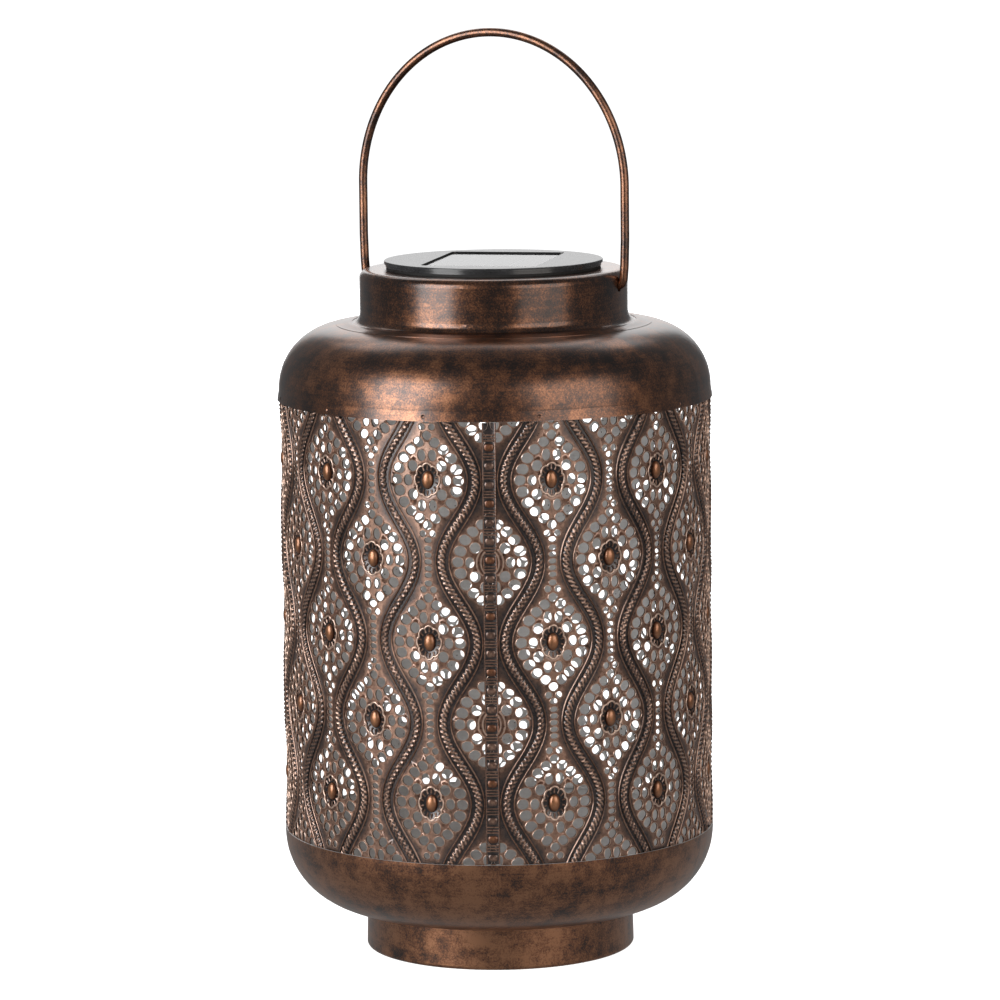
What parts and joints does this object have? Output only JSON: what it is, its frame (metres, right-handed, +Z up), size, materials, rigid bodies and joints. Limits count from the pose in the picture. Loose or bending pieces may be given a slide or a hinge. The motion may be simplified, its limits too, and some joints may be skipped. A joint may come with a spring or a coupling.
{
  "type": "solar garden lantern",
  "caption": "Free-standing or hanging garden lantern: a drum of pierced, embossed sheet metal between rounded shells, with a wire bail and a lift-out solar lamp lid.",
  "frame": {"origin": "centre of the foot's underside, on the lantern's axis", "axes": "+Z up along the lantern's axis; X is the bail's pivot axis, so the upright bail lies in the XZ plane; -Y is the side seen from the front"},
  "size_m": [0.1716, 0.1716, 0.3643],
  "materials": {
    "antique_copper": "dark antique-copper lacquer over tinplate, rubbed through to brighter copper on the raised work",
    "bail_copper": "dark antique-copper lacquer on steel wire, satin",
    "black_rubber": "matt",
    "black_plastic": "moulded, satin",
    "panel_laminate": "white fibreglass laminate, matt",
    "silicon_cell": "dark silicon with fine silver lines under resin",
    "clear_resin": "clear resin, glossy",
    "zinc_screw": "zinc plated",
    "battery_steel": "nickel plated",
    "battery_wrap": "plain printed shrink film",
    "nickel_contact": "nickel plated spring steel",
    "board_laminate": "paper laminate, tan",
    "black_epoxy": "matt",
    "green_epoxy": "dipped coating",
    "lamp_epoxy": "clear epoxy over pale phosphor",
    "tinned_lead": "tinned",
    "bright_reflector": "metallised plastic",
    "clear_window": "clear moulded plastic",
    "switch_steel": "tinplate",
    "switch_knob": "satin",
    "red_insulation": "vinyl",
    "black_insulation": "vinyl"
  },
  "bodies": {
    "lantern": {"foot_ring": "antique_copper", "base_pan": "antique_copper", "filigree_sleeve": "antique_copper", "seam_strip": "antique_copper", "shoulder_shell": "antique_copper", "neck_collar": "antique_copper"},
    "bail": {"bail_wire": "bail_copper"},
    "lift_ring": {"grip_ring": "black_rubber"},
    "lamp_lid": {"seat_washer": "black_rubber", "housing_gasket": "black_rubber", "module_cover": "black_plastic", "module_housing": "black_plastic", "panel_board": "panel_laminate", "solar_cells": "silicon_cell", "panel_resin": "clear_resin", "housing_screws": "zinc_screw", "board_screws": "zinc_screw", "plus_contact": "nickel_contact", "minus_contact": "nickel_contact", "circuit_board": "board_laminate", "driver_chip": "black_epoxy", "coil_inductor": "green_epoxy", "led_lamp": "lamp_epoxy", "led_leads": "tinned_lead", "led_reflector": "bright_reflector", "led_window": "clear_window", "switch_body": "switch_steel", "panel_lead_red": "red_insulation", "battery_lead_red": "red_insulation", "switch_lead_red": "red_insulation", "panel_lead_black": "black_insulation", "battery_lead_black": "black_insulation", "switch_lead_black": "black_insulation"},
    "switch": {"switch_knob": "switch_knob"},
    "battery_cover": {"battery_door": "black_plastic", "door_screw": "zinc_screw"},
    "battery": {"battery_can": "battery_steel", "battery_wrap": "battery_wrap"}
  },
  "joints": [
    {"name": "bail_swing", "type": "hinge", "parent": "lantern", "child": "bail", "pos_m": [0, 0, 0.2645], "axis": [1, 0, 0], "range_deg": [-108, 108]},
    {"name": "lid_lift", "type": "slide", "parent": "lantern", "child": "lift_ring", "axis": [0, 0, 1], "range_m": [0, 0.055]},
    {"name": "lid_turn", "type": "hinge", "parent": "lift_ring", "child": "lamp_lid", "pos_m": [0, 0, 0.2714], "axis": [0, 0, 1], "continuous": true},
    {"name": "switch_slide", "type": "slide", "parent": "lamp_lid", "child": "switch", "axis": [0.9842, 0.1771, 0], "range_m": [0, 0.0025]},
    {"name": "battery_cover_drop", "type": "slide", "parent": "lamp_lid", "child": "battery_cover", "axis": [0, 0, -1], "range_m": [0, 0.025]},
    {"name": "battery_drop", "type": "slide", "parent": "lamp_lid", "child": "battery", "axis": [0, 0, -1], "range_m": [0, 0.0125]}
  ],
  "couplings": [
    {"joint": "battery_drop", "follows": "battery_cover_drop", "ratio": 0.5}
  ]
}
